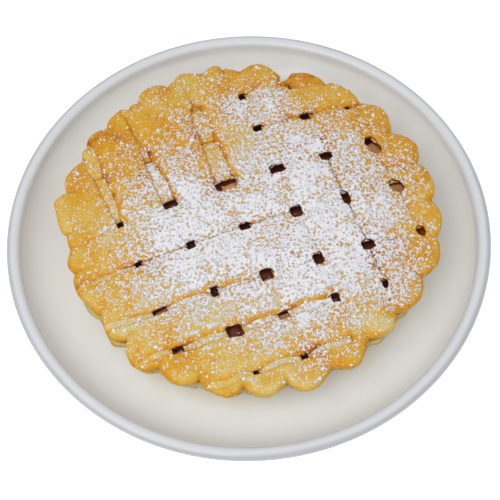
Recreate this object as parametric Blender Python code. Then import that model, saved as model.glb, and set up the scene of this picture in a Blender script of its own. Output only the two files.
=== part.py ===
"""Small round pie with a woven lattice top, standing in its own white glazed dish.

The pie is a fluted bottom crust with a fruit filling and fifteen flat strips of
dough laid over it in two directions.  The strips are woven in four blocks: each
strip runs on top on one side of the weave's middle seam and underneath on the
other.  The origin is on the ground below the dish's centre, +Z is up, and +Y
points to the back of the dish.  All sizes are in metres.
"""
import math

import bmesh
import bpy

# Dish: a turned plate with an upright rounded wall, a bead for a lip and a foot ring
DISH_RADIUS = 0.110
DISH_HEIGHT = 0.0215
DISH_FLOOR = 0.005
DISH_WALL_START = 0.082
LIP_RADIUS_ACROSS = 0.0030
LIP_RADIUS_HIGH = 0.0023
DISH_THICKNESS = 0.0034
FOOT_OUTER = 0.068
FOOT_INNER = 0.0645
FOOT_HEIGHT = 0.0016
FOOT_DRAFT = 0.0008
DISH_STEPS = 64

# Pie: its fluted rim and its low dome
FLUTES = 26
FLUTE_START = math.radians(3.6)
RIM_RADIUS = 0.085
FLUTE_DEPTH = 0.004
RIM_SKEW = 0.0016
RIM_SKEW_AT = math.radians(-20)
RIM_TOP = 0.030
CROWN = 0.0085
DOME_RADIUS = 0.0875
RIM_SOFTENING = 0.0032
STEPS_PER_FLUTE = 6

# Bottom crust and filling
GAP = 0.0003
PIE_BASE = DISH_FLOOR + GAP
CRUST_BASE_RADIUS = 0.063
CRUST_KNEE_RADIUS = 0.0805
CRUST_KNEE_HEIGHT = 0.0185
CRUST_INNER_RADIUS = 0.076
CRUST_INNER_BASE_RADIUS = 0.059
CRUST_THICKNESS = 0.0042
CRUST_SET_BACK = 0.0006
CRUST_EDGE_HEIGHT = 0.0022
FILLING_STEPS = 48

# Strips of dough
DOUGH = 0.0030
SHOULDER_DROP = 0.0009
STRIP_REACH = 0.0915
ROW_SPACING = 0.0088
COLUMNS = (0.0, 0.1, 0.5, 0.9, 1.0)
SHOULDER_SHARE = (1.0, 0.15, 0.0, 0.15, 1.0)

# The two directions of the weave, as the angle that each set of strips runs in
A_ANGLE = math.radians(17)
B_ANGLE = math.radians(-72)

# Seams between neighbouring strips: distance from the centre (m), tilt (degrees),
# sideways bow (m), gap between strips on top (m) and between strips underneath (m)
A_SEAMS = (
    (0.0640, -2.0, 0.0, 0.0015, 0.0030),
    (0.0410, -1.0, 0.0020, 0.0015, 0.0030),
    (0.0150, 1.0, 0.0025, 0.0020, 0.0060),
    (-0.0080, 0.3, 0.0020, 0.0010, 0.0040),
    (-0.0315, 0.0, 0.0, 0.0016, 0.0040),
    (-0.0510, 0.0, -0.0005, 0.0026, 0.0040),
    (-0.0720, 0.7, 0.0, 0.0020, 0.0040),
)
B_SEAMS = (
    (-0.0535, 4.0, 0.0, 0.0030, 0.0035),
    (-0.0285, 5.0, -0.0005, 0.0045, 0.0040),
    (-0.0010, 1.0, -0.0025, 0.0062, 0.0045),
    (0.0210, 1.0, 0.0, 0.0020, 0.0060),
    (0.0435, 0.7, 0.0010, 0.0016, 0.0040),
    (0.0665, 4.0, 0.0015, 0.0034, 0.0050),
)
# The seams where strips change from top to underneath, counted from 0
A_MIDDLE = 2
B_MIDDLE = 3
# Where a strip is back at its level, on the upper strip's side and on the lower one's
STEP_NEAR = 0.0010
STEP_FAR = 0.0030
OUTER_EDGE = 0.092


def clear_scene():
    """Remove every object of the open file."""
    for item in list(bpy.data.objects):
        bpy.data.objects.remove(item, do_unlink=True)


def new_collection(name):
    """Make a collection in the scene."""
    group = bpy.data.collections.new(name)
    bpy.context.scene.collection.children.link(group)
    return group


def make_material(name, colour, roughness):
    """Make a plain Principled material."""
    material = bpy.data.materials.new(name)
    material.use_nodes = True
    shader = material.node_tree.nodes["Principled BSDF"]
    shader.inputs["Base Color"].default_value = (*colour, 1.0)
    shader.inputs["Roughness"].default_value = roughness
    shader.inputs["Metallic"].default_value = 0.0
    return material


def make_object(name, bm, group, material=None):
    """Turn a bmesh into a named object with its faces pointing out."""
    bmesh.ops.recalc_face_normals(bm, faces=bm.faces[:])
    mesh = bpy.data.meshes.new(name)
    bm.to_mesh(mesh)
    bm.free()
    item = bpy.data.objects.new(name, mesh)
    group.objects.link(item)
    if material is not None:
        mesh.materials.append(material)
    return item


def smoothstep(x):
    """Rise from 0 to 1 with level ends."""
    x = min(max(x, 0.0), 1.0)
    return x * x * (3.0 - 2.0 * x)


def lobe(angle):
    """Height of the rim's lobe at an angle: 1 at its tip, 0 in the valley."""
    phase = (angle - FLUTE_START) * FLUTES / (2.0 * math.pi)
    return math.sin(math.pi * (phase - math.floor(phase))) ** 0.7


def fluted(radius, depth, angle):
    """Radius of a fluted outline whose lobes reach a little further to one side."""
    skew = RIM_SKEW * math.cos(angle - RIM_SKEW_AT) * radius / RIM_RADIUS
    return radius + skew - depth * (1.0 - lobe(angle))


def dome(x, y):
    """Height of the lattice's top, a low dome over the level rim."""
    return RIM_TOP + CROWN * (1.0 - (x * x + y * y) / DOME_RADIUS ** 2)


def turned(name, profile, steps, group, material, reshape=None):
    """Turn a profile of (radius, height) from the axis out and back to the axis.

    reshape(x, y, z), where given, moves each point of the turned body.
    """
    bm = bmesh.new()
    points = [bm.verts.new((radius, 0.0, height)) for radius, height in profile]
    edges = [bm.edges.new(pair) for pair in zip(points, points[1:])]
    bmesh.ops.spin(bm, geom=points + edges, cent=(0.0, 0.0, 0.0), axis=(0.0, 0.0, 1.0),
                   angle=2.0 * math.pi, steps=steps, use_merge=True)
    bmesh.ops.remove_doubles(bm, verts=bm.verts[:], dist=0.00001)
    if reshape is not None:
        for vert in bm.verts:
            vert.co = reshape(*vert.co)
    return make_object(name, bm, group, material)


def arc(centre_radius, centre_height, across, high, start, end, count):
    """Points of an elliptical arc in a profile, from one angle to another in degrees."""
    points = []
    for step in range(count + 1):
        angle = math.radians(start + (end - start) * step / count)
        points.append((centre_radius + across * math.cos(angle),
                       centre_height + high * math.sin(angle)))
    return points


def build_dish(group):
    """Turn the dish: floor, upright wall, lip bead, outside wall and foot ring."""
    lip_centre = DISH_RADIUS - LIP_RADIUS_ACROSS
    lip_height = DISH_HEIGHT - LIP_RADIUS_HIGH
    wall_across = lip_centre - LIP_RADIUS_ACROSS - DISH_WALL_START
    wall_high = lip_height - DISH_FLOOR
    outside_top = lip_height - LIP_RADIUS_HIGH
    outside_across = wall_across + 0.6 * DISH_THICKNESS
    outside_high = outside_top - FOOT_HEIGHT
    profile = [(0.0, DISH_FLOOR)]
    profile += arc(DISH_WALL_START, lip_height, wall_across, wall_high, -90, -8, 5)
    profile += arc(lip_centre, lip_height, LIP_RADIUS_ACROSS, LIP_RADIUS_HIGH, 165, -30, 6)
    profile += arc(DISH_WALL_START, outside_top, outside_across, outside_high, -12, -90, 3)
    profile += [(FOOT_OUTER + FOOT_DRAFT, FOOT_HEIGHT), (FOOT_OUTER, 0.0), (FOOT_INNER, 0.0),
                (FOOT_INNER - FOOT_DRAFT, FOOT_HEIGHT), (0.0, FOOT_HEIGHT)]
    glaze = make_material("white_glaze", (0.84, 0.83, 0.79), 0.12)
    return turned("dish", profile, DISH_STEPS, group, glaze)


def build_crust(group):
    """Turn the bottom crust, flute its outside and leave its hollow round and smooth."""
    rim_top = dome(RIM_RADIUS, 0.0) - 2.0 * (DOUGH + GAP)
    inner_top = dome(CRUST_INNER_RADIUS, 0.0) - 2.0 * (DOUGH + GAP)
    outer = RIM_RADIUS - CRUST_SET_BACK
    hollow_floor = PIE_BASE + CRUST_THICKNESS
    profile = [(0.0, hollow_floor), (CRUST_INNER_BASE_RADIUS, hollow_floor),
               (CRUST_INNER_RADIUS, inner_top), (outer, rim_top),
               (outer, rim_top - CRUST_EDGE_HEIGHT), (CRUST_KNEE_RADIUS, CRUST_KNEE_HEIGHT),
               (CRUST_BASE_RADIUS, PIE_BASE), (0.0, PIE_BASE)]
    outside_start = 0.5 * (CRUST_INNER_RADIUS + CRUST_KNEE_RADIUS)

    def flute(x, y, z):
        radius = math.hypot(x, y)
        outside = radius > outside_start or z < PIE_BASE + GAP
        if radius < 0.5 * CRUST_BASE_RADIUS or not outside:
            return x, y, z
        angle = math.atan2(y, x)
        depth = FLUTE_DEPTH * (radius / outer) ** 2
        grown = fluted(radius, depth, angle) / radius
        return x * grown, y * grown, z

    pastry = make_material("bottom_crust", (0.72, 0.50, 0.24), 0.75)
    return turned("crust", profile, FLUTES * STEPS_PER_FLUTE, group, pastry, flute)


def build_filling(group):
    """Turn the fruit filling, which fills the crust up to the strips."""
    hollow_floor = PIE_BASE + CRUST_THICKNESS
    lattice_base = 2.0 * (DOUGH + GAP)
    slope = ((CRUST_INNER_RADIUS - CRUST_INNER_BASE_RADIUS)
             / (dome(CRUST_INNER_RADIUS, 0.0) - lattice_base - hollow_floor))
    floor = hollow_floor + GAP
    wall_gap = 1.6 * GAP
    below = lattice_base + GAP
    edge_top = dome(CRUST_INNER_RADIUS, 0.0) - below
    edge = CRUST_INNER_BASE_RADIUS + slope * (edge_top - hollow_floor) - wall_gap
    profile = [(0.0, dome(0.0, 0.0) - below)]
    for share in (0.3, 0.6, 0.85, 1.0):
        radius = edge * share
        profile.append((radius, dome(radius, 0.0) - below))
    profile += [(CRUST_INNER_BASE_RADIUS - wall_gap, floor), (0.0, floor)]
    fruit = make_material("fruit_filling", (0.25, 0.10, 0.05), 0.35)
    return turned("filling", profile, FILLING_STEPS, group, fruit)


def build_rim_cutter(group):
    """Make the fluted body that the strips are trimmed to, with a softened top edge."""
    edge_top = dome(RIM_RADIUS, 0.0)
    profile = [(0.0, 0.0), (RIM_RADIUS, 0.0), (RIM_RADIUS, edge_top - 0.7 * RIM_SOFTENING),
               (RIM_RADIUS - 0.3 * RIM_SOFTENING, edge_top - 0.3 * RIM_SOFTENING),
               (RIM_RADIUS - RIM_SOFTENING, edge_top + GAP),
               (RIM_RADIUS - 3.0 * RIM_SOFTENING, edge_top + CROWN), (0.0, 2.0 * RIM_TOP)]

    def flute(x, y, z):
        radius = math.hypot(x, y)
        if radius < 0.5 * RIM_RADIUS:
            return x, y, z
        grown = fluted(radius, FLUTE_DEPTH, math.atan2(y, x)) / radius
        return x * grown, y * grown, z

    cutter = turned("rim_cutter", profile, FLUTES * STEPS_PER_FLUTE, group, None, flute)
    cutter.hide_render = True
    cutter.display_type = 'WIRE'
    return cutter


def across(x, y, angle):
    """Distance of a point to the side of the line at an angle through the centre."""
    return y * math.cos(angle) - x * math.sin(angle)


def along(x, y, angle):
    """Distance of a point along the line at an angle through the centre."""
    return x * math.cos(angle) + y * math.sin(angle)


def seam_offset(seam, u):
    """Sideways place of a seam, a tilted and slightly bowed line, at u along it."""
    distance, tilt, bow = seam[:3]
    return distance + math.tan(math.radians(tilt)) * u + bow * (1.0 - (u / RIM_RADIUS) ** 2)


def level(distance, first_block):
    """1 where a strip lies on top, 0 underneath, by its distance past the middle seam."""
    towards = distance if first_block else -distance
    return smoothstep((towards + STEP_NEAR) / (STEP_NEAR + STEP_FAR))


class Family:
    """The strips that run one way, and the seam of the other family that they step at."""

    def __init__(self, angle, seams, middle, other_angle, other_seam):
        self.angle = angle
        self.seams = seams
        self.middle = middle
        self.other_angle = other_angle
        self.other_seam = other_seam
        self.rising = 1.0 if seams[0][0] < seams[-1][0] else -1.0

    def past_middle(self, x, y):
        """Distance of a point past the other family's middle seam."""
        other_u = along(x, y, self.other_angle)
        return across(x, y, self.other_angle) - seam_offset(self.other_seam, other_u)

    def edge(self, index, side, first_block):
        """Edge of a strip at seam index, on that seam's side, as a function of u."""
        if index < 0:
            return lambda u: -self.rising * OUTER_EDGE
        if index >= len(self.seams):
            return lambda u: self.rising * OUTER_EDGE
        seam = self.seams[index]

        def offset(u):
            v = seam_offset(seam, u)
            x = u * math.cos(self.angle) - v * math.sin(self.angle)
            y = u * math.sin(self.angle) + v * math.cos(self.angle)
            top = level(self.past_middle(x, y), first_block)
            gap = seam[3] * top + seam[4] * (1.0 - top)
            return v + side * self.rising * 0.5 * gap

        return offset

    def place(self, first_edge, second_edge, t, distance):
        """Meet the line at t between two edges with the line at a distance past the seam."""
        x = y = 0.0
        spread = math.sin(self.other_angle - self.angle)
        for _ in range(12):
            u = along(x, y, self.angle)
            mine = first_edge(u) + t * (second_edge(u) - first_edge(u))
            other = seam_offset(self.other_seam, along(x, y, self.other_angle)) + distance
            x = (mine * math.cos(self.other_angle) - other * math.cos(self.angle)) / spread
            y = (mine * math.sin(self.other_angle) - other * math.sin(self.angle)) / spread
        return x, y


def row_distances(family, first_block):
    """Places of a strip's cross rows, with more of them where it steps down or up."""
    middle = family.other_seam[0]
    first = -STRIP_REACH - middle
    count = round(2.0 * STRIP_REACH / ROW_SPACING)
    rows = [first + 2.0 * STRIP_REACH * step / count for step in range(count + 1)]
    near, far = (-STEP_NEAR, STEP_FAR) if first_block else (STEP_NEAR, -STEP_FAR)
    margin = 0.4 * ROW_SPACING
    rows = [row for row in rows if not min(near, far) - margin < row < max(near, far) + margin]
    rows += [near + (far - near) * share for share in (-0.2, 0.0, 0.33, 0.67, 1.0, 1.2)]
    return sorted(rows)


def build_strip(name, family, index, cutter, group, material):
    """Lay one strip: a grid extruded to two skins, bent over the dome and trimmed."""
    first_block = index <= family.middle
    first_edge = family.edge(index - 1, 1.0, first_block)
    second_edge = family.edge(index, -1.0, first_block)
    distances = row_distances(family, first_block)
    rows = len(distances) - 1
    columns = len(COLUMNS) - 1

    bm = bmesh.new()
    bmesh.ops.create_grid(bm, x_segments=rows, y_segments=columns, size=0.5)
    raised = bmesh.ops.extrude_face_region(bm, geom=bm.faces[:])
    top_skin = {item for item in raised["geom"] if isinstance(item, bmesh.types.BMVert)}
    for vert in bm.verts:
        distance = distances[round((vert.co.x + 0.5) * rows)]
        column = round((vert.co.y + 0.5) * columns)
        x, y = family.place(first_edge, second_edge, COLUMNS[column], distance)
        sunk = (1.0 - level(distance, first_block)) * (DOUGH + GAP)
        below = SHOULDER_DROP * SHOULDER_SHARE[column] if vert in top_skin else DOUGH
        vert.co = (x, y, dome(x, y) - sunk - below)
    strip = make_object(name, bm, group, material)
    trim = strip.modifiers.new("trim_to_rim", 'BOOLEAN')
    trim.operation = 'INTERSECT'
    trim.solver = 'EXACT'
    trim.object = cutter
    return strip


def build_strips(group, cutter):
    """Lay both families of strips, one object a strip."""
    families = (
        ("a", Family(A_ANGLE, A_SEAMS, A_MIDDLE, B_ANGLE, B_SEAMS[B_MIDDLE])),
        ("b", Family(B_ANGLE, B_SEAMS, B_MIDDLE, A_ANGLE, A_SEAMS[A_MIDDLE])),
    )
    for letter, family in families:
        for index in range(len(family.seams) + 1):
            name = "strip_%s%d" % (letter, index + 1)
            pastry = make_material(name + "_pastry", (0.80, 0.56, 0.22), 0.7)
            build_strip(name, family, index, cutter, group, pastry)


def main():
    """Build the pie in its dish."""
    clear_scene()
    pie = new_collection("lattice_pie")
    cutters = new_collection("cutters")
    build_dish(pie)
    build_crust(pie)
    build_filling(pie)
    build_strips(pie, build_rim_cutter(cutters))


main()
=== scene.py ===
"""Looks of a small round fruit pie with a woven lattice top, dusted with powdered sugar, in its dish.

Everything is in metres in the frame's own axes: +Z is up and +Y points to the back.  The lattice is
worked out once as a weave of seams, and every strip, the browning and the sugar read that weave.
"""
import logging
import math
from dataclasses import dataclass, field
from enum import Enum
from typing import Callable

import bmesh
import bpy
import numpy as np
from mathutils import Matrix, Vector


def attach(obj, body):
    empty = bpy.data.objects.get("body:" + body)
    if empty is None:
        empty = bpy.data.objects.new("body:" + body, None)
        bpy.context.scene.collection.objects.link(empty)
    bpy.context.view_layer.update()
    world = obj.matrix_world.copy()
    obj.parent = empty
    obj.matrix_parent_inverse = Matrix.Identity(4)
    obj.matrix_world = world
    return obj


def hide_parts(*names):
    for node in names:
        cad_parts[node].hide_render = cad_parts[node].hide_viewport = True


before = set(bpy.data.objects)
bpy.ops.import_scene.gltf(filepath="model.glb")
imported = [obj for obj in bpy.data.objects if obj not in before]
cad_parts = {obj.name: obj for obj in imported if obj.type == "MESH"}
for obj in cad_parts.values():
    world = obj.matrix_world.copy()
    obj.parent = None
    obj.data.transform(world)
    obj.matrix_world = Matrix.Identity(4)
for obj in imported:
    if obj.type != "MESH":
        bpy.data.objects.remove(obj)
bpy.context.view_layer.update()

LOG = logging.getLogger("pie")
BODY = "root"
TURN = 2.0 * math.pi
MM = 0.001
NO_SUGAR = 0.95  # noise threshold that no place reaches
Array = np.ndarray


# Small numeric helpers


def smooth(x: Array) -> Array:
    """Smooth step: x clipped to 0..1, then three x squared less two x cubed."""
    x = np.clip(x, 0.0, 1.0)
    return x * x * (3.0 - 2.0 * x)


def bell(distance: Array, width: float, power: int = 2) -> Array:
    """1 at no distance, falling to 0: e to the minus power of distance over width."""
    return np.exp(-(np.abs(distance / width) ** power))


def quarter_round(distance: Array, width: Array) -> Array:
    """Share of a rounded edge's drop: 1 at the edge, 0 a width inside, along a quarter circle."""
    left = 1.0 - np.clip(distance / width, 0.0, 1.0)
    return 1.0 - np.sqrt(1.0 - left * left)


def turned(x: Array, y: Array, angle: Array) -> tuple[Array, Array]:
    """Places turned about the origin: x cosine less y sine, and x sine plus y cosine."""
    c, s = np.cos(angle), np.sin(angle)
    return x * c - y * s, x * s + y * c


def away_from(angle: Array, place: float) -> Array:
    """Signed angle from a place, within half a turn."""
    return (angle - place + math.pi) % TURN - math.pi


def half_chord(radius: float, away: Array) -> Array:
    """Half a circle's chord at a distance from its middle: root of the difference of the squares."""
    return np.sqrt(np.maximum(radius ** 2 - away ** 2, 1e-8))


def lumps(x: Array, y: Array, size: float, seed: int) -> Array:
    """Smooth random heights between -1 and 1 over lumps of one size.

    Random values stand at the corners of a square grid as wide as the lumps, and a smooth step
    blends the four corners round each point.

    Args:
        x, y: places.
        size: width of a lump.
        seed: seed of the random table.

    Returns:
        The height at each place.
    """
    cells = 128
    table = np.random.default_rng(seed).uniform(-1.0, 1.0, (cells, cells))
    gx, gy = x / size + cells / 2, y / size + cells / 2
    ix, iy = np.floor(gx).astype(int), np.floor(gy).astype(int)
    fx, fy = smooth(gx - ix), smooth(gy - iy)
    left, right = ix % cells, (ix + 1) % cells
    low, high = (table[left, row % cells] * (1.0 - fx) + table[right, row % cells] * fx
                 for row in (iy, iy + 1))
    return low * (1.0 - fy) + high * fy


def layered(x: Array, y: Array, *layers: tuple[float, float, int]) -> Array:
    """Sum of lumps of several sizes, each layer given as its height, its size and its seed."""
    return sum(height * lumps(x, y, size, seed) for height, size, seed in layers)


def crowded(count: int, crowd: float) -> Array:
    """Places from 0 to 1 that crowd at both ends: even spacing blended with cosine spacing."""
    even = np.linspace(0.0, 1.0, count)
    return (1.0 - crowd) * even + crowd * (0.5 - 0.5 * np.cos(math.pi * even))


def around(steps: int) -> Array:
    """One row of even angles once round."""
    return np.linspace(0.0, TURN, steps, endpoint=False)[None, :]


def stretch(start: tuple, end: tuple, count: int) -> list:
    """Points of a straight stretch of a profile, without its first."""
    return [(start[0] + (end[0] - start[0]) * s, start[1] + (end[1] - start[1]) * s)
            for s in np.linspace(0.0, 1.0, count + 1)[1:]]


def arc(centre: tuple, size: tuple, start: float, end: float, count: int) -> list:
    """Points of an elliptical arc of a profile between two angles in degrees."""
    return [(centre[0] + size[0] * math.cos(a), centre[1] + size[1] * math.sin(a))
            for a in np.radians(np.linspace(start, end, count))]


# Meshes


def grid_quads(rows: int, columns: int, start: int = 0, wrap: bool = False) -> Array:
    """Corner numbers of the quads between the points of a grid.

    Args:
        rows: number of rows of points.
        columns: number of points in a row.
        start: number of the grid's first point.
        wrap: whether the last column joins the first.

    Returns:
        One row of four corner numbers for each quad.
    """
    number = start + np.arange(rows * columns).reshape(rows, columns)
    if wrap:
        number = np.concatenate([number, number[:, :1]], axis=1)
    corners = (number[:-1, :-1], number[1:, :-1], number[1:, 1:], number[:-1, 1:])
    return np.stack([corner.ravel() for corner in corners], axis=1)


def make_piece(name: str, points: Array, faces: Array, material: bpy.types.Material,
               values: dict[str, Array] | None = None) -> bpy.types.Object:
    """Put points and faces into a new smooth mesh object.

    Args:
        name: name of the piece.
        points: one row of x, y, z for each point.
        faces: one row of corner numbers for each face, three or four of them.
        material: finish of the piece.
        values: named numbers, one for each point.

    Returns:
        The new object, linked to the scene.
    """
    mesh = bpy.data.meshes.new(name)
    mesh.vertices.add(len(points))
    mesh.vertices.foreach_set("co", points.astype(np.float32).ravel())
    mesh.loops.add(faces.size)
    mesh.loops.foreach_set("vertex_index", faces.astype(np.int32).ravel())
    mesh.polygons.add(len(faces))
    mesh.polygons.foreach_set("loop_start", np.arange(0, faces.size, faces.shape[1], dtype=np.int32))
    mesh.update(calc_edges=True)
    mesh.shade_smooth()
    for key, value in (values or {}).items():
        layer = mesh.attributes.new(key, 'FLOAT', 'POINT')
        layer.data.foreach_set("value", value.astype(np.float32).ravel())
    mesh.materials.append(material)
    piece = bpy.data.objects.new(name, mesh)
    bpy.context.scene.collection.objects.link(piece)
    return piece


def turned_piece(name: str, radius: Array, height: Array, angle: Array, material: bpy.types.Material,
                 values: dict[str, Array] | None = None) -> bpy.types.Object:
    """Make a closed body of rings round the axis, from one middle over the outside to the other.

    Each point lies at its radius times the cosine and sine of its angle, and at its height.  The
    points that meet on the axis are merged, and all faces turned out.

    Args:
        name: name of the piece.
        radius: radii, one row for each ring.
        height: heights, one row for each ring.
        angle: one row of angles.
        material: finish of the piece.
        values: named numbers, one for each point.

    Returns:
        The new object.
    """
    grid = np.stack([radius * np.cos(angle), radius * np.sin(angle), height + 0.0 * angle], axis=2)
    quads = grid_quads(*grid.shape[:2], wrap=True)
    piece = make_piece(name, grid.reshape(-1, 3), quads, material, values)
    bm = bmesh.new()
    bm.from_mesh(piece.data)
    bmesh.ops.remove_doubles(bm, verts=bm.verts[:], dist=1e-7)
    bmesh.ops.recalc_face_normals(bm, faces=bm.faces[:])
    bm.to_mesh(piece.data)
    bm.free()
    return piece


def settle(piece: bpy.types.Object, slot: str, *nodes: str) -> None:
    """Let a finished piece ride on the pie's body and stand for its nodes.

    Args:
        piece: the finished piece.
        slot: name of its material slot; not used.
        *nodes: the solids that it replaces.
    """
    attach(piece, BODY)
    if nodes:
        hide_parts(*nodes)
    LOG.info("%s: %d faces", piece.name, len(piece.data.polygons))


# Shader helpers


class NodeGraph:
    """A node tree with short ways to add nodes and join them; noise reads Object coordinates."""

    def __init__(self, tree: bpy.types.NodeTree) -> None:
        """Keep the tree and its Object coordinates."""
        self.tree = tree
        self.place = self.add('ShaderNodeTexCoord').outputs["Object"]

    def feed(self, node: bpy.types.Node, inputs: dict) -> None:
        """Set sockets of a node, each by name or number, to a value or another node's output."""
        for key, value in inputs.items():
            if isinstance(value, bpy.types.NodeSocket):
                self.tree.links.new(value, node.inputs[key])
            else:
                node.inputs[key].default_value = value

    def add(self, kind: str, inputs: dict | None = None, **settings: object) -> bpy.types.Node:
        """Add a node.

        Args:
            kind: Blender's name for the node's type.
            inputs: socket name or number to a value or to another node's output.
            **settings: properties of the node.

        Returns:
            The new node.
        """
        node = self.tree.nodes.new(kind)
        for key, value in settings.items():
            setattr(node, key, value)
        self.feed(node, inputs or {})
        return node

    def math(self, operation: str, first: object, second: object = 0.0) -> object:
        """Output of a Math node on two values."""
        return self.add('ShaderNodeMath', {0: first, 1: second}, operation=operation).outputs[0]

    def sway(self, base: object, noise: object, amount: float) -> object:
        """A base plus an amount of a noise about its middle of one half."""
        return self.math('ADD', base, self.math('MULTIPLY', self.math('SUBTRACT', noise, 0.5), amount))

    def weigh(self, first: object, second: object, share: object) -> object:
        """A share of the first value plus the rest of the second."""
        rest = self.math('MULTIPLY', second, self.math('SUBTRACT', 1.0, share))
        return self.math('ADD', self.math('MULTIPLY', first, share), rest)

    def attribute(self, name: str) -> object:
        """Numbers that the mesh's points carry under a name."""
        return self.add('ShaderNodeAttribute', attribute_name=name).outputs["Fac"]

    def noise(self, scale: float, detail: float = 2.0, rough: float = 0.5) -> object:
        """Output of a Noise Texture in 0..1."""
        inputs = {"Vector": self.place, "Scale": scale, "Detail": detail, "Roughness": rough}
        return self.add('ShaderNodeTexNoise', inputs).outputs["Fac"]

    def ramp(self, factor: object, stops: tuple) -> object:
        """Colour of a ramp.

        Args:
            factor: where on the ramp to read, 0..1.
            stops: pairs of a place and a colour.

        Returns:
            The colour output.
        """
        node = self.add('ShaderNodeValToRGB', {"Fac": factor})
        elements = node.color_ramp.elements
        while len(elements) < len(stops):
            elements.new(0.5)
        for element, (place, colour) in zip(elements, stops):
            element.position = place
            element.color = (*colour, 1.0)
        return node.outputs["Color"]

    def spread(self, value: object, low: float, high: float, to_low: float = 0.0,
               to_high: float = 1.0) -> object:
        """Map a range by a smooth step to another range."""
        inputs = {"Value": value, "From Min": low, "From Max": high, "To Min": to_low, "To Max": to_high}
        return self.add('ShaderNodeMapRange', inputs, interpolation_type='SMOOTHSTEP').outputs["Result"]

    def mix(self, factor: object, first: object, second: object, blend: str = 'MIX') -> object:
        """Colour output of a Mix node."""
        inputs = {"Factor": factor, 6: first, 7: second}
        return self.add('ShaderNodeMix', inputs, data_type='RGBA', blend_type=blend).outputs[2]

    def bump(self, height: object, strength: float, distance: float, **over: object) -> object:
        """Normal of a Bump node, over another Normal where one is given."""
        inputs = {"Height": height, "Strength": strength, "Distance": distance, **over}
        return self.add('ShaderNodeBump', inputs).outputs["Normal"]


def new_effect(name: str, takes: str, gives: tuple[str, ...],
               work: Callable[[NodeGraph, object], dict]) -> bpy.types.NodeTree:
    """Build a shader node group.

    Args:
        name: name of the group.
        takes: name of its one input, a number.
        gives: names of its outputs; Color is a colour and the others are numbers.
        work: makes the outputs from the group's graph and input.

    Returns:
        The group.
    """
    group = bpy.data.node_groups.new(name, 'ShaderNodeTree')
    given = group.interface.new_socket(takes, in_out='INPUT', socket_type='NodeSocketFloat')
    given.default_value = 0.5
    for key in gives:
        kind = 'NodeSocketColor' if key == "Color" else 'NodeSocketFloat'
        group.interface.new_socket(key, in_out='OUTPUT', socket_type=kind)
    graph = NodeGraph(group)
    outputs = work(graph, graph.add('NodeGroupInput').outputs[takes])
    graph.feed(graph.add('NodeGroupOutput'), outputs)
    return group


@dataclass
class SharedEffects:
    """Node groups that more than one finish uses."""

    baked: bpy.types.NodeTree = field(init=False)
    powder: bpy.types.NodeTree = field(init=False)

    # Colours of the dough from raw to burnt, and of the sugar from a thin veil to a heap, the thin veil's
    # greyer tone being painted shade among the grains
    BAKE_TONES = (
        (0.00, (0.62, 0.505, 0.275)),
        (0.12, (0.675, 0.515, 0.190)),
        (0.26, (0.665, 0.440, 0.092)),
        (0.50, (0.665, 0.356, 0.030)),
        (0.72, (0.615, 0.262, 0.010)),
        (0.88, (0.43, 0.130, 0.009)),
        (1.00, (0.19, 0.040, 0.012)),
    )
    SUGAR_AND_SHADE_TONES = ((0.0, (0.66, 0.645, 0.640)), (0.35, (0.74, 0.730, 0.750)), (1.0, (0.79, 0.785, 0.820)))
    SUGAR_EDGE = 0.011

    def __post_init__(self) -> None:
        """Build each group once."""
        self.baked = new_effect("Baked dough", "Bake", ("Color", "Roughness", "Height"), self.bake)
        self.powder = new_effect("Powdered sugar", "Threshold", ("Mask", "Height", "Color"), self.dust)

    def bake(self, graph: NodeGraph, bake: object) -> dict[str, object]:
        """Colour, roughness and relief of baked dough: a ramp read at the browning plus two noises.

        Args:
            graph: the group's graph.
            bake: how far the dough is browned.

        Returns:
            The group's outputs.
        """
        mottle = graph.noise(380.0, 3.0, 0.6)
        grain = graph.noise(1500.0, 2.0, 0.6)
        tone = graph.sway(graph.sway(bake, graph.noise(120.0, 3.0, 0.55), 0.60), mottle, 0.55)
        fine = graph.spread(grain, 0.3, 0.7, 0.86, 1.09)
        shade = graph.add('ShaderNodeCombineColor', {"Red": fine, "Green": fine, "Blue": fine})
        colour = graph.mix(1.0, graph.ramp(tone, self.BAKE_TONES), shade.outputs["Color"], 'MULTIPLY')
        return {"Color": colour, "Roughness": graph.spread(mottle, 0.3, 0.7, 0.46, 0.66),
                "Height": graph.weigh(mottle, grain, 0.7)}

    def dust(self, graph: NodeGraph, threshold: object) -> dict[str, object]:
        """Mask and relief of powdered sugar: where two noises together are above the threshold.

        Args:
            graph: the group's graph.
            threshold: noise value above which sugar lies.

        Returns:
            The group's outputs.
        """
        share = graph.spread(threshold, 0.45, 0.60, 0.15, 0.40)
        heap = graph.weigh(graph.noise(430.0, 1.0, 0.5), graph.noise(770.0, 1.0, 0.5), share)
        above = graph.math('SUBTRACT', heap, threshold)
        mask = graph.spread(graph.math('DIVIDE', above, self.SUGAR_EDGE), -1.0, 1.0)
        # Where the sugar is thin its colour is greyer: painted shade among the grains.
        return {"Mask": mask, "Height": graph.spread(above, -0.01, 0.12),
                "Color": graph.ramp(graph.spread(above, 0.0, 0.10), self.SUGAR_AND_SHADE_TONES)}


# Finishes


@dataclass(frozen=True)
class Finish:
    """A material of one Principled shader, whose sockets each finish works out."""

    name: str

    def sockets(self, graph: NodeGraph) -> dict[str, object]:
        """Work out what feeds the shader.

        Args:
            graph: the material's graph.

        Returns:
            Socket names to values or to outputs of nodes.
        """
        raise NotImplementedError

    def material(self) -> bpy.types.Material:
        """Build the material and feed its shader.

        Returns:
            The finished material.
        """
        material = bpy.data.materials.new(self.name)
        material.use_nodes = True
        graph = NodeGraph(material.node_tree)
        graph.feed(material.node_tree.nodes["Principled BSDF"], self.sockets(graph))
        return material


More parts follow.
